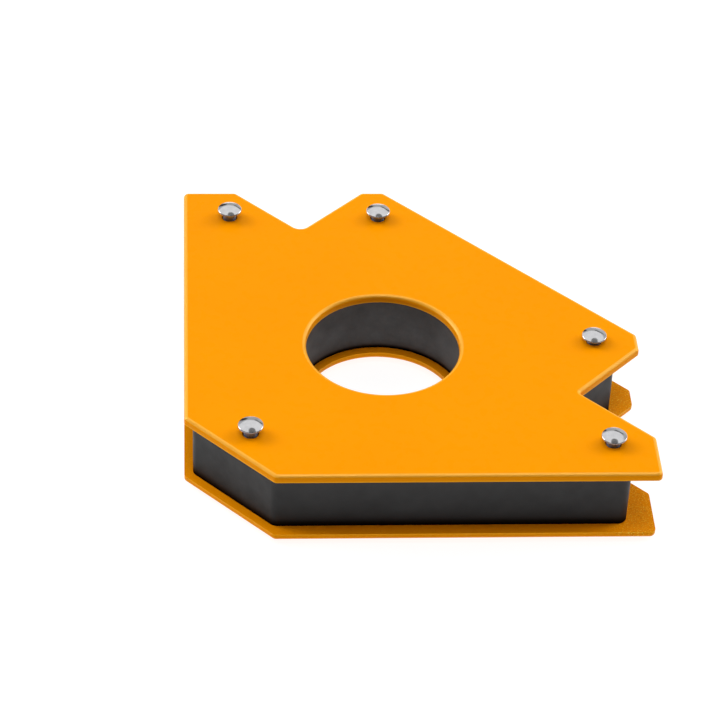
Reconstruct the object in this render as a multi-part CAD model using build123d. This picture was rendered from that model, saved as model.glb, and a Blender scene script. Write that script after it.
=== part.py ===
from build123d import *

import os

# Arrow-shaped magnetic welding holder: two steel plates with a ferrite ring magnet and a
# moulded spacer between them, held together by five rivets. Millimetres, +Z up. The origin is
# on the surface that the holder lies on, under the middle of its square plan. X and Y run
# along its two straight working edges. Plan positions are measured from the square's corner
# at the nose and are moved to the origin as each piece is written.

# ---- plan outline, the same on both plates ----
SIDE = 85.0                 # the square that the plan is cut from
NOSE_CUT = 16.0             # leg of the corner cut off between the two working edges
ARM_END = 10.3              # width of each arm's blunt end
NOTCH_HALF = 12.5           # half the mouth of each right-angled notch, and its depth
SHOULDER = 4.4              # flat between a notch and the long slanted edge
PLATE_CORNER_RADIUS = 1.0   # outer corners, seen from above
LEFT_NOTCH_RADIUS = 1.8     # root of the notch beside the left arm
RIGHT_NOTCH_RADIUS = 0.4    # root of the notch beside the right arm

# ---- stack, from the bottom up ----
TAIL_HEIGHT = 0.9           # rivet tails stand this far below the lower plate
PLATE_THICKNESS = 1.5
STACK_HEIGHT = 15.4         # over both plates
PLATE_EDGE_RADIUS = 0.8     # rolled edge on each plate's outer face

# ---- centre hole and ring magnet ----
HOLE_CENTRE = 37.05         # from each straight working edge
HOLE_RADIUS = 14.35
MAGNET_BORE_RADIUS = 16.0
MAGNET_RADIUS = 30.0
GLUE_GAP = 0.3              # round the magnet, inside its pocket

# ---- moulded spacer ----
SPACER_INSET = 2.3          # from the plates' edges
SPACER_LEFT_INSET = 1.6     # along the left working edge
SPACER_NOSE_INSET = 1.6     # at the cut nose
SPACER_END_INSET = 5.0      # at the arm ends
SPACER_SHOULDER_INSET = 4.6
SPACER_WALL = 2.5
SPACER_CORNER_RADIUS = 1.8
SPACER_INNER_RADIUS = 0.8
BOSS_RADIUS = 3.5
RIB_THICKNESS = 2.0

# ---- rivets ----
SHANK_RADIUS = 1.25
BOSS_CLEARANCE = 0.05       # radial, round the shank in the spacer
LOWER_CLEARANCE = 0.1       # radial, in the lower plate
UPPER_CLEARANCE = 0.3       # radial, in the upper plate
HEAD_RADIUS = 2.3
HEAD_RIM = 0.3              # thickness of the head at its rim
HEAD_RIM_RADIUS = 0.12
HEAD_DOME = 0.5             # rise of the dome over the rim
NECK_FILLET = 0.35
TAIL_RADIUS = 2.1
TAIL_ROLL = 0.35            # rounding of the rolled tail
TAIL_BORE_RADIUS = 0.7
TAIL_BORE_DEPTH = 2.5
SAME = 1e-6                 # two edge measures this close are the same
NOTCH_ROOT = 3              # the notch's root among the points of half the outline

# Each rivet's x and y, and how far the middle of its head's rim stands over the upper plate.
RIVETS = {
    "rivet_left_arm": (9.0, 76.7, 1.8),
    "rivet_left_shoulder": (38.2, 76.5, 1.55),
    "rivet_right_shoulder": (76.7, 37.8, 1.2),
    "rivet_nose": (11.9, 11.8, 1.85),
    "rivet_right_arm": (77.0, 8.6, 1.6),
}

# ---- heights of the four plate faces ----
LOWER_OUTER = TAIL_HEIGHT
LOWER_INNER = LOWER_OUTER + PLATE_THICKNESS
UPPER_OUTER = LOWER_OUTER + STACK_HEIGHT
UPPER_INNER = UPPER_OUTER - PLATE_THICKNESS


def half_outline(inset, working_inset, nose_inset, end_inset, shoulder_inset):
    """The arrow outline's right half, from the cut nose round to the long slanted edge.

    The straight working edge moves in by working_inset, the cut nose by nose_inset, the arm's
    end by end_inset, the shoulder by shoulder_inset, and the slanted edges by inset. A slanted
    edge that is moved in crosses a straight one further along by diagonal.
    """
    diagonal = inset * 2**0.5
    arm_end = SIDE - end_inset
    shoulder = SIDE - shoulder_inset
    return [
        (NOSE_CUT + nose_inset * 2**0.5 - working_inset, working_inset),
        (arm_end, working_inset),
        (arm_end, ARM_END + end_inset - diagonal),
        (SIDE - NOTCH_HALF - diagonal, ARM_END + NOTCH_HALF),
        (shoulder, ARM_END + 2 * NOTCH_HALF - shoulder_inset + diagonal),
        (shoulder, ARM_END + 2 * NOTCH_HALF + SHOULDER + shoulder_inset - diagonal),
    ]


def arrow_face(right, left, corner_radius, right_root_radius, left_root_radius):
    """The outline as a face, from its right half and from its left half as seen in a mirror."""
    points = right + [(y, x) for x, y in reversed(left)]
    radii = [corner_radius] * len(points)
    radii[NOTCH_ROOT] = right_root_radius
    radii[-1 - NOTCH_ROOT] = left_root_radius
    return make_face(FilletPolyline(*points, radius=radii, close=True))


def spacer_face(depth, corner_radius):
    """The moulding's outline, depth inside its outer wall."""
    halves = [
        half_outline(
            SPACER_INSET + depth,
            working_inset + depth,
            SPACER_NOSE_INSET + depth,
            SPACER_END_INSET + depth,
            SPACER_SHOULDER_INSET + depth,
        )
        for working_inset in (SPACER_INSET, SPACER_LEFT_INSET)
    ]
    return arrow_face(*halves, *[corner_radius] * 3)


def disc(x, y, radius):
    return Pos(x, y) * Circle(radius)


def rivet_discs(radius):
    return [disc(x, y, radius) for x, y, _ in RIVETS.values()]


def plate(clearance, outer_face):
    """One steel plate standing on z = 0. outer_face is 0 to roll its lower edge, -1 its upper."""
    half = half_outline(0, 0, 0, 0, 0)
    blank = arrow_face(half, half, PLATE_CORNER_RADIUS, RIGHT_NOTCH_RADIUS, LEFT_NOTCH_RADIUS)
    blank -= disc(HOLE_CENTRE, HOLE_CENTRE, HOLE_RADIUS)
    body = extrude(blank, PLATE_THICKNESS)
    body = fillet(body.faces().sort_by(Axis.Z)[outer_face].edges(), PLATE_EDGE_RADIUS)
    for hole in rivet_discs(SHANK_RADIUS + clearance):
        body -= extrude(hole, PLATE_THICKNESS)
    return body


def spacer_frame():
    """One moulding: a wall round the outline, a pocket for the magnet, ribs and rivet bosses."""
    outside = spacer_face(0, SPACER_CORNER_RADIUS)
    inside = spacer_face(SPACER_WALL, SPACER_INNER_RADIUS)
    pocket_radius = MAGNET_RADIUS + GLUE_GAP
    filling = disc(HOLE_CENTRE, HOLE_CENTRE, pocket_radius + SPACER_WALL)
    for x, y, _ in RIVETS.values():
        filling += disc(x, y, BOSS_RADIUS)
        filling += trace(Line((x, y), (HOLE_CENTRE, HOLE_CENTRE)), RIB_THICKNESS)
    section = (outside - inside) + (filling & outside)
    section -= disc(HOLE_CENTRE, HOLE_CENTRE, pocket_radius)
    for hole in rivet_discs(SHANK_RADIUS + BOSS_CLEARANCE):
        section -= hole
    return extrude(section, UPPER_INNER - LOWER_INNER)


def ring_magnet():
    ring = disc(HOLE_CENTRE, HOLE_CENTRE, MAGNET_RADIUS)
    ring -= disc(HOLE_CENTRE, HOLE_CENTRE, MAGNET_BORE_RADIUS)
    return extrude(ring, UPPER_INNER - LOWER_INNER)


def rivet_head(rim_height):
    """The thin domed head, with the middle of its rim at rim_height."""
    under = rim_height - HEAD_RIM / 2
    over = rim_height + HEAD_RIM / 2
    crown = over + HEAD_DOME
    dome_radius = (HEAD_RADIUS**2 + HEAD_DOME**2) / (2 * HEAD_DOME)
    sides = Polyline((0, crown), (0, under), (HEAD_RADIUS, under), (HEAD_RADIUS, over))
    dome = RadiusArc((HEAD_RADIUS, over), (0, crown), -dome_radius)
    return revolve(Plane.XZ * make_face(sides + dome), Axis.Z)


def rivet(stand_off):
    """A tubular rivet from its rolled tail on z = 0 up to the head that stands off the plate."""
    rim_height = UPPER_OUTER + stand_off
    shank_height = rim_height - HEAD_RIM / 2
    shank = extrude(Circle(SHANK_RADIUS), shank_height)
    tail = extrude(Circle(TAIL_RADIUS), LOWER_OUTER)
    body = rivet_head(rim_height) + shank + tail
    neck_edge = body.edges().filter_by(lambda e: is_ring(e, SHANK_RADIUS, shank_height))
    body = fillet(neck_edge, NECK_FILLET)
    rim_edges = body.edges().filter_by(
        lambda e: is_ring(e, HEAD_RADIUS, shank_height) or is_ring(e, HEAD_RADIUS, shank_height + HEAD_RIM)
    )
    body = fillet(rim_edges, HEAD_RIM_RADIUS)
    body -= extrude(Circle(TAIL_BORE_RADIUS), TAIL_BORE_DEPTH)
    tail_edges = body.edges().filter_by(
        lambda e: is_ring(e, TAIL_RADIUS, 0) or is_ring(e, TAIL_BORE_RADIUS, 0)
    )
    return fillet(tail_edges, TAIL_ROLL)


def is_ring(edge, radius, height):
    """Whether an edge is the circle of that radius at that height."""
    if edge.geom_type != GeomType.CIRCLE:
        return False
    return abs(edge.radius - radius) < SAME and abs(edge.arc_center.Z - height) < SAME


def write(name, solid, x=0.0, y=0.0, z=0.0):
    """Move a piece from its own place to the assembly's frame and write it as one node."""
    placed = Pos(x - SIDE / 2, y - SIDE / 2, z) * solid
    export_step(placed, os.path.join("parts", name + ".step"))


os.makedirs("parts", exist_ok=True)
write("lower_plate", plate(LOWER_CLEARANCE, 0), z=LOWER_OUTER)
write("upper_plate", plate(UPPER_CLEARANCE, -1), z=UPPER_INNER)
write("spacer_frame", spacer_frame(), z=LOWER_INNER)
write("ring_magnet", ring_magnet(), z=LOWER_INNER)
for rivet_name, (rivet_x, rivet_y, rivet_stand_off) in RIVETS.items():
    write(rivet_name, rivet(rivet_stand_off), rivet_x, rivet_y)
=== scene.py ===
from math import cos, radians, sin

import bpy
from mathutils import Matrix, Vector

MM = 0.001

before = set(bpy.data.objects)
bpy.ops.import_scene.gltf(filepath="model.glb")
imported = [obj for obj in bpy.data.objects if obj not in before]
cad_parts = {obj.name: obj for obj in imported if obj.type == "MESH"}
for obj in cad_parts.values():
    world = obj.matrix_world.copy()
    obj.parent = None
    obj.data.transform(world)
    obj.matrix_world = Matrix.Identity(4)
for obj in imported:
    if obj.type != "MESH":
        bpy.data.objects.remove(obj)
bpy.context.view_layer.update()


# ---- camera ----

CAMERA_YAW = radians(4.474)       # turned to the right of straight ahead
CAMERA_PITCH = radians(39.364)    # looking down
CAMERA_ROLL = radians(2.642)      # anticlockwise, seen from behind the camera
CAMERA_DISTANCE = 532.6 * MM
CAMERA_AIM = Vector((-9.468, -3.686, 10.92)) * MM
CAMERA_LENS = 141.6
SENSOR = 36.0


def add_camera():
    data = bpy.data.cameras.new("camera")
    data.lens = CAMERA_LENS
    data.sensor_width = SENSOR
    data.clip_start = 0.01
    data.clip_end = 20
    camera = bpy.data.objects.new("camera", data)
    bpy.context.scene.collection.objects.link(camera)
    turn = Matrix.Rotation(-CAMERA_YAW, 4, "Z")
    tilt = Matrix.Rotation(radians(90) - CAMERA_PITCH, 4, "X")
    roll = Matrix.Rotation(CAMERA_ROLL, 4, "Z")
    rotation = turn @ tilt @ roll
    back = rotation @ Vector((0, 0, CAMERA_DISTANCE))
    camera.matrix_world = Matrix.Translation(CAMERA_AIM + back) @ rotation
    bpy.context.scene.camera = camera


# ---- shader nodes ----


def add_node(tree, kind, settings=None, **sockets):
    """A node with its settings, each socket given a value or linked to an output."""
    node = tree.nodes.new(kind)
    for name, value in (settings or {}).items():
        setattr(node, name, value)
    for name, value in sockets.items():
        socket = node.inputs[int(name[1:])] if name[1:].isdigit() else node.inputs[name.replace("_", " ")]
        if isinstance(value, bpy.types.NodeSocket):
            tree.links.new(value, socket)
        else:
            socket.default_value = value
    return node


def noise(tree, scale, detail=2.0):
    """A noise field, about 0.5 on average, with scale spots to the metre on the object."""
    place = add_node(tree, "ShaderNodeTexCoord").outputs["Object"]
    return add_node(tree, "ShaderNodeTexNoise", Vector=place, Scale=scale, Detail=detail).outputs[0]


def remap(tree, value, low, high, new_low, new_high, smooth=False):
    """The value moved from the range low to high into new_low to new_high, and held inside it."""
    settings = {"interpolation_type": "SMOOTHSTEP"} if smooth else None
    return add_node(
        tree, "ShaderNodeMapRange", settings,
        Value=value, From_Min=low, From_Max=high, To_Min=new_low, To_Max=new_high,
    ).outputs[0]


def math(tree, operation, first, second=0.0):
    return add_node(tree, "ShaderNodeMath", {"operation": operation}, _0=first, _1=second).outputs[0]


def blend(tree, amount, first, second):
    node = add_node(tree, "ShaderNodeMix", {"data_type": "RGBA"}, _0=amount)
    for index, colour in ((6, first), (7, second)):
        if isinstance(colour, bpy.types.NodeSocket):
            tree.links.new(colour, node.inputs[index])
        else:
            node.inputs[index].default_value = (*colour, 1)
    return node.outputs[2]


def bump(tree, height, distance, under=None):
    """A normal roughened by a height field, on top of the relief under it."""
    node = add_node(tree, "ShaderNodeBump", Height=height, Distance=distance, Strength=1.0)
    if under:
        tree.links.new(under, node.inputs["Normal"])
    return node.outputs[0]


def position(tree):
    place = add_node(tree, "ShaderNodeNewGeometry").outputs["Position"]
    return add_node(tree, "ShaderNodeSeparateXYZ", _0=place).outputs


def edge_masks(tree):
    """A mask of a plate's rolled edges, and one of its upright sides.

    The lean is 1 on a flat face and 0 on an upright one.
    """
    normal = add_node(tree, "ShaderNodeNewGeometry").outputs["True Normal"]
    lean = math(tree, "ABSOLUTE", add_node(tree, "ShaderNodeSeparateXYZ", _0=normal).outputs[2])
    rise = remap(tree, lean, 0.40, 0.60, 0, 1, smooth=True)
    fall = remap(tree, lean, 0.98, 0.999, 1, 0, smooth=True)
    return math(tree, "MULTIPLY", rise, fall), remap(tree, lean, 0.1, 0.3, 1, 0)


def new_material(name, **constants):
    """A material, its node tree and its shader, with the shader's constant values set."""
    material = bpy.data.materials.new(name)
    material.use_nodes = True
    shader = material.node_tree.nodes["Principled BSDF"]
    for socket, value in constants.items():
        shader.inputs[socket.replace("_", " ")].default_value = value
    return material, material.node_tree, shader


def feed(tree, shader, **fields):
    """Link each field to the shader's socket of that name."""
    for socket, field in fields.items():
        tree.links.new(field, shader.inputs[socket.replace("_", " ")])


# ---- materials ----


def heights(node):
    """The bottom and the top of a node."""
    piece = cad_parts[node]
    corners = [(piece.matrix_world @ Vector(corner)).z for corner in piece.bound_box]
    return min(corners), max(corners)


LOWER_INNER, UPPER_INNER = heights("spacer_frame")    # the plates' inner faces
NECK_TOP = 17.2 * MM              # just under the lowest rivet head
GRAIN_AND_SPARKLE_FROM = 33 * MM             # the coat is coarser towards the right arm, where pale flecks are painted as sparkle highlights
GRAIN_AND_SPARKLE_FADE = 4 * MM

ORANGE = (0.89, 0.296, 0.0)
ORANGE_SHADE = (0.87, 0.287, 0.0)
# Pale orange painted as highlight on the rolled edges, partly their thinner worn coat, and along the
# sharp edge of the inner face
ORANGE_EDGE_HIGHLIGHT = (1.0, 0.44, 0.012)
# Pale orange painted as sparkle highlights in flecks on the grainy coat
ORANGE_SPARKLE_HIGHLIGHT = (1.0, 0.60, 0.05)
ORANGE_PIT = (0.66, 0.19, 0.0)
EDGE_GLINT = (1.0, 0.62, 0.22, 1)
# Near black painted as shadow at the foot of the spacer and of the magnet
PAINTED_SHADOW_BLACK = (0, 0, 0)
# Bluish dark grey painted as shade on the rivets' necks and under their heads
PAINTED_NECK_SHADE = (0.22, 0.28, 0.42)

# The darker and the paler colour of each clouded surface.
PLASTIC = (0.021, 0.021, 0.022), (0.028, 0.028, 0.029)
FERRITE = (0.048, 0.048, 0.050), (0.068, 0.068, 0.071)
CHROME = (0.78, 0.78, 0.80), (0.86, 0.86, 0.87)


def powder_coat(name, inner_face, peel_scale, peel_depth, edge_wear_and_highlight, grain_and_sparkle):
    """Orange powder coat: faint clouding, orange peel, small pits and pale flecks that are painted
    sparkle highlights.

    It is more reflective on the rolled edge, where its pale tint is painted highlight as well as a thin
    worn coat, and a pale painted highlight runs along the sharp edge of the plate's inner face. The pits
    and the painted sparkle flecks are strongest towards the right arm.
    """
    material, tree, shader = new_material(name, IOR=2.4, Specular_Tint=EDGE_GLINT)
    cloud = remap(tree, noise(tree, 45), 0.35, 0.65, 0, 1)
    film = blend(tree, cloud, ORANGE_SHADE, ORANGE)
    rolled, upright = edge_masks(tree)
    patchy = remap(tree, noise(tree, 300), 0.3, 0.7, 0.85 * edge_wear_and_highlight, edge_wear_and_highlight)
    worn_and_highlight = math(tree, "MULTIPLY", rolled, patchy)
    # The pale tint on the rolled edges is painted highlight as well as worn thin coat
    film = blend(tree, worn_and_highlight, film, ORANGE_EDGE_HIGHLIGHT)

    x, _, z = position(tree)
    # Painted highlight: a pale line along the sharp edge of the plate's inner face, on its upright sides
    off_face = math(tree, "ABSOLUTE", math(tree, "SUBTRACT", z, inner_face))
    arris_highlight = remap(tree, off_face, 0.12 * MM, 0.3 * MM, 0.75, 0)
    film = blend(tree, math(tree, "MULTIPLY", arris_highlight, upright), film, ORANGE_EDGE_HIGHLIGHT)

    grain_and_sparkle_mask = remap(tree, x, GRAIN_AND_SPARKLE_FROM, GRAIN_AND_SPARKLE_FROM + GRAIN_AND_SPARKLE_FADE, 0.15 * grain_and_sparkle, grain_and_sparkle)
    pits = remap(tree, noise(tree, 3000, 0), 0.42, 0.3, 0, 0.5)
    film = blend(tree, math(tree, "MULTIPLY", pits, grain_and_sparkle_mask), film, ORANGE_PIT)
    # Pale flecks: painted sparkle highlights, towards the right arm
    sparkle_highlight = remap(tree, noise(tree, 4200, 0), 0.62, 0.72, 0, 1)
    film = blend(tree, math(tree, "MULTIPLY", sparkle_highlight, grain_and_sparkle_mask), film, ORANGE_SPARKLE_HIGHLIGHT)

    gloss = remap(tree, noise(tree, 500), 0.3, 0.7, 0.24, 0.34)
    waves = bump(tree, noise(tree, 260, 1), 0.008 * MM)
    feed(
        tree, shader,
        Base_Color=film,
        Specular_IOR_Level=remap(tree, worn_and_highlight, 0, 1, 0.01, 1),
        Roughness=math(tree, "ADD", gloss, math(tree, "MULTIPLY", worn_and_highlight, 0.15)),
        Normal=bump(tree, noise(tree, peel_scale, 1), peel_depth, under=waves),
    )
    return material


def spacer_plastic():
    """Moulded black plastic with a fine grain, darker towards its foot as painted shade, with a
    near-black painted shadow at the foot.
    """
    material, tree, shader = new_material("spacer_plastic")
    cloud = remap(tree, noise(tree, 120, 3), 0.35, 0.65, 0, 1)
    height = position(tree)[2]
    # Painted shade: darker towards the foot and near black in its last 2 mm, with the reflection dimmed
    # alike
    painted_shade_gradient = remap(tree, height, LOWER_INNER, LOWER_INNER + 11 * MM, 0.5, 1)
    painted_foot_shadow = remap(tree, height, LOWER_INNER, LOWER_INNER + 2 * MM, 0.1, 1, smooth=True)
    unshaded = math(tree, "MULTIPLY", painted_shade_gradient, painted_foot_shadow)
    feed(
        tree, shader,
        Base_Color=blend(tree, unshaded, PAINTED_SHADOW_BLACK, blend(tree, cloud, *PLASTIC)),
        Specular_IOR_Level=math(tree, "MULTIPLY", unshaded, 0.3),
        Roughness=remap(tree, noise(tree, 400), 0.3, 0.7, 0.42, 0.55),
        Normal=bump(tree, noise(tree, 3000, 1), 0.01 * MM),
    )
    return material


def ferrite():
    """Sintered ferrite: dull dark grey, mottled, with shallow pits and a black painted shadow along its
    foot.
    """
    material, tree, shader = new_material("ferrite")
    cloud = remap(tree, noise(tree, 700, 4), 0.35, 0.65, 0, 1)
    height = position(tree)[2]
    # Painted shadow: black at the foot, fading out by 1.2 mm up, with the reflection dimmed alike
    painted_foot_shadow = remap(tree, height, LOWER_INNER + 0.2 * MM, LOWER_INNER + 1.2 * MM, 0, 1, smooth=True)
    feed(
        tree, shader,
        Base_Color=blend(tree, painted_foot_shadow, PAINTED_SHADOW_BLACK, blend(tree, cloud, *FERRITE)),
        Specular_IOR_Level=math(tree, "MULTIPLY", painted_foot_shadow, 0.35),
        Roughness=remap(tree, noise(tree, 350, 3), 0.3, 0.7, 0.42, 0.62),
        Normal=bump(tree, noise(tree, 1400, 3), 0.03 * MM),
    )
    return material


def rivet_chrome():
    """Bright plated steel, duller on the neck and on the underside of the head, and darkened there to a
    bluish grey as painted shade.
    """
    material, tree, shader = new_material("rivet_chrome")
    normal = add_node(tree, "ShaderNodeNewGeometry").outputs["True Normal"]
    facing_up = add_node(tree, "ShaderNodeSeparateXYZ", _0=normal).outputs[2]
    underside = remap(tree, facing_up, -0.1, 0.4, 1, 0)
    neck = remap(tree, position(tree)[2], NECK_TOP - 0.2 * MM, NECK_TOP + 0.2 * MM, 1, 0)
    # Painted shade: the neck and the head's underside take a darker bluish grey
    dull_and_painted_shade = math(tree, "MAXIMUM", neck, underside)
    smear = remap(tree, noise(tree, 900, 2), 0.35, 0.65, 0, 1)
    fine = remap(tree, noise(tree, 1500, 2), 0.3, 0.7, 0.05, 0.12)
    feed(
        tree, shader,
        Base_Color=blend(tree, dull_and_painted_shade, blend(tree, smear, *CHROME), PAINTED_NECK_SHADE),
        Metallic=remap(tree, dull_and_painted_shade, 0, 1, 1, 0.1),
        Roughness=math(tree, "MAXIMUM", fine, math(tree, "MULTIPLY", dull_and_painted_shade, 0.35)),
        Normal=bump(tree, noise(tree, 700, 2), 0.01 * MM),
    )
    return material


def paint(node, material):
    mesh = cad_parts[node].data
    mesh.materials.clear()
    mesh.materials.append(material)


def dress_nodes():
    smooth_coat = powder_coat(
        "orange_powder_coat", UPPER_INNER,
        peel_scale=1100, peel_depth=0.004 * MM, edge_wear_and_highlight=0.9, grain_and_sparkle=0.0,
    )
    # The lower plate: coarser peel, pits, and painted sparkle highlights towards the right arm
    coarse_coat = powder_coat(
        "orange_powder_coat_coarse", LOWER_INNER,
        peel_scale=2400, peel_depth=0.04 * MM, edge_wear_and_highlight=0.2, grain_and_sparkle=1.0,
    )
    paint("upper_plate", smooth_coat)
    paint("lower_plate", coarse_coat)
    paint("spacer_frame", spacer_plastic())
    paint("ring_magnet", ferrite())
    chrome = rivet_chrome()
    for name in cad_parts:
        if name.startswith("rivet"):
            paint(name, chrome)


# ---- stage ----


FLOOR_HALF = 3.0
FLOOR_GREY = (0.2, 0.2, 0.2, 1)
FLOOR_LIGHT = (1, 1, 1, 1)
FLOOR_GLOW = 0.9


def add_floor():
    """A pale light table."""
    corners = [(x * FLOOR_HALF, y * FLOOR_HALF, 0) for x, y in ((-1, -1), (1, -1), (1, 1), (-1, 1))]
    mesh = bpy.data.meshes.new("floor")
    mesh.from_pydata(corners, [], [(0, 1, 2, 3)])
    floor = bpy.data.objects.new("floor", mesh)
    bpy.context.scene.collection.objects.link(floor)
    material, _, _ = new_material(
        "floor_white", Base_Color=FLOOR_GREY, Roughness=0.9, Specular_IOR_Level=0.0,
        Emission_Color=FLOOR_LIGHT, Emission_Strength=FLOOR_GLOW,
    )
    mesh.materials.append(material)


# The studio: each soft light is a round glow on the sky, given by its turn to the left of
# straight behind the holder, its height over the horizon, the half-angles where it starts and
# stops to fade, and its strength.
GLOWS = [
    (180, 78, 10, 18, 3.0),       # softbox overhead
    (0, 58, 31, 35, 0.36),        # pale panel high behind
    (64, 23, 12, 20, 3.4),        # low panel on the left
    (-68, 23, 12, 20, 3.2),       # low panel on the right
    (-30, 6, 8, 20, 0.15),        # paler towards the right
    (-22, 77, 9, 12, -0.57),      # gaps between the panels, seen in the rivets
    (12, 12, 6, 9, -0.45),
    (-13, 21, 1.5, 4, -0.3),
    (-18, 24, 1.5, 4, -0.3),
    (-24, 26, 1.5, 4, -0.3),
    (-30, 27, 1.5, 4, -0.3),
]
GAP = 0.03                        # the sky is nowhere darker than this
SKY_FRONT = 0.05                  # plain sky in front of the holder, and behind it
SKY_BACK = 0.40

# Lamps that light the surfaces but don't show in them: turn, height, width and strength.
LAMPS = [
    (180, 89, 18, 0.42),          # overhead
    (64, 40, 36, 1.05),           # key from the left
    (-68, 42, 36, 0.74),          # fill from the right
]


def toward(turn, height):
    """The direction to a place on the sky."""
    return Vector((-sin(turn) * cos(height), cos(turn) * cos(height), sin(height)))


def add_lamps():
    for turn, height, width, strength in LAMPS:
        lamp = bpy.data.lights.new("lamp", "SUN")
        lamp.energy = strength
        lamp.angle = radians(width)
        holder = bpy.data.objects.new("lamp", lamp)
        holder.rotation_euler = toward(radians(turn), radians(height)).to_track_quat("Z", "Y").to_euler()
        holder.visible_glossy = False
        bpy.context.scene.collection.objects.link(holder)


def add_studio():
    world = bpy.data.worlds.new("studio")
    world.use_nodes = True
    tree = world.node_tree
    look = add_node(tree, "ShaderNodeTexCoord").outputs["Generated"]
    forward = add_node(tree, "ShaderNodeSeparateXYZ", _0=look).outputs[1]
    total = remap(tree, forward, -0.3, 0.3, SKY_FRONT, SKY_BACK, smooth=True)
    for turn, height, inner, outer, strength in GLOWS:
        turn, height, inner, outer = map(radians, (turn, height, inner, outer))
        centre = toward(turn, height)
        near = add_node(tree, "ShaderNodeVectorMath", {"operation": "DOT_PRODUCT"}, _0=look, _1=centre)
        glow = remap(tree, near.outputs["Value"], cos(outer), cos(inner), 0, strength, smooth=True)
        total = math(tree, "ADD", total, glow)
    total = math(tree, "MAXIMUM", total, GAP)
    background = tree.nodes["Background"]
    background.inputs["Color"].default_value = (1, 1, 1, 1)
    tree.links.new(total, background.inputs["Strength"])
    bpy.context.scene.world = world


bpy.context.scene.view_settings.view_transform = "Standard"
add_camera()
dress_nodes()
add_floor()
add_lamps()
add_studio()
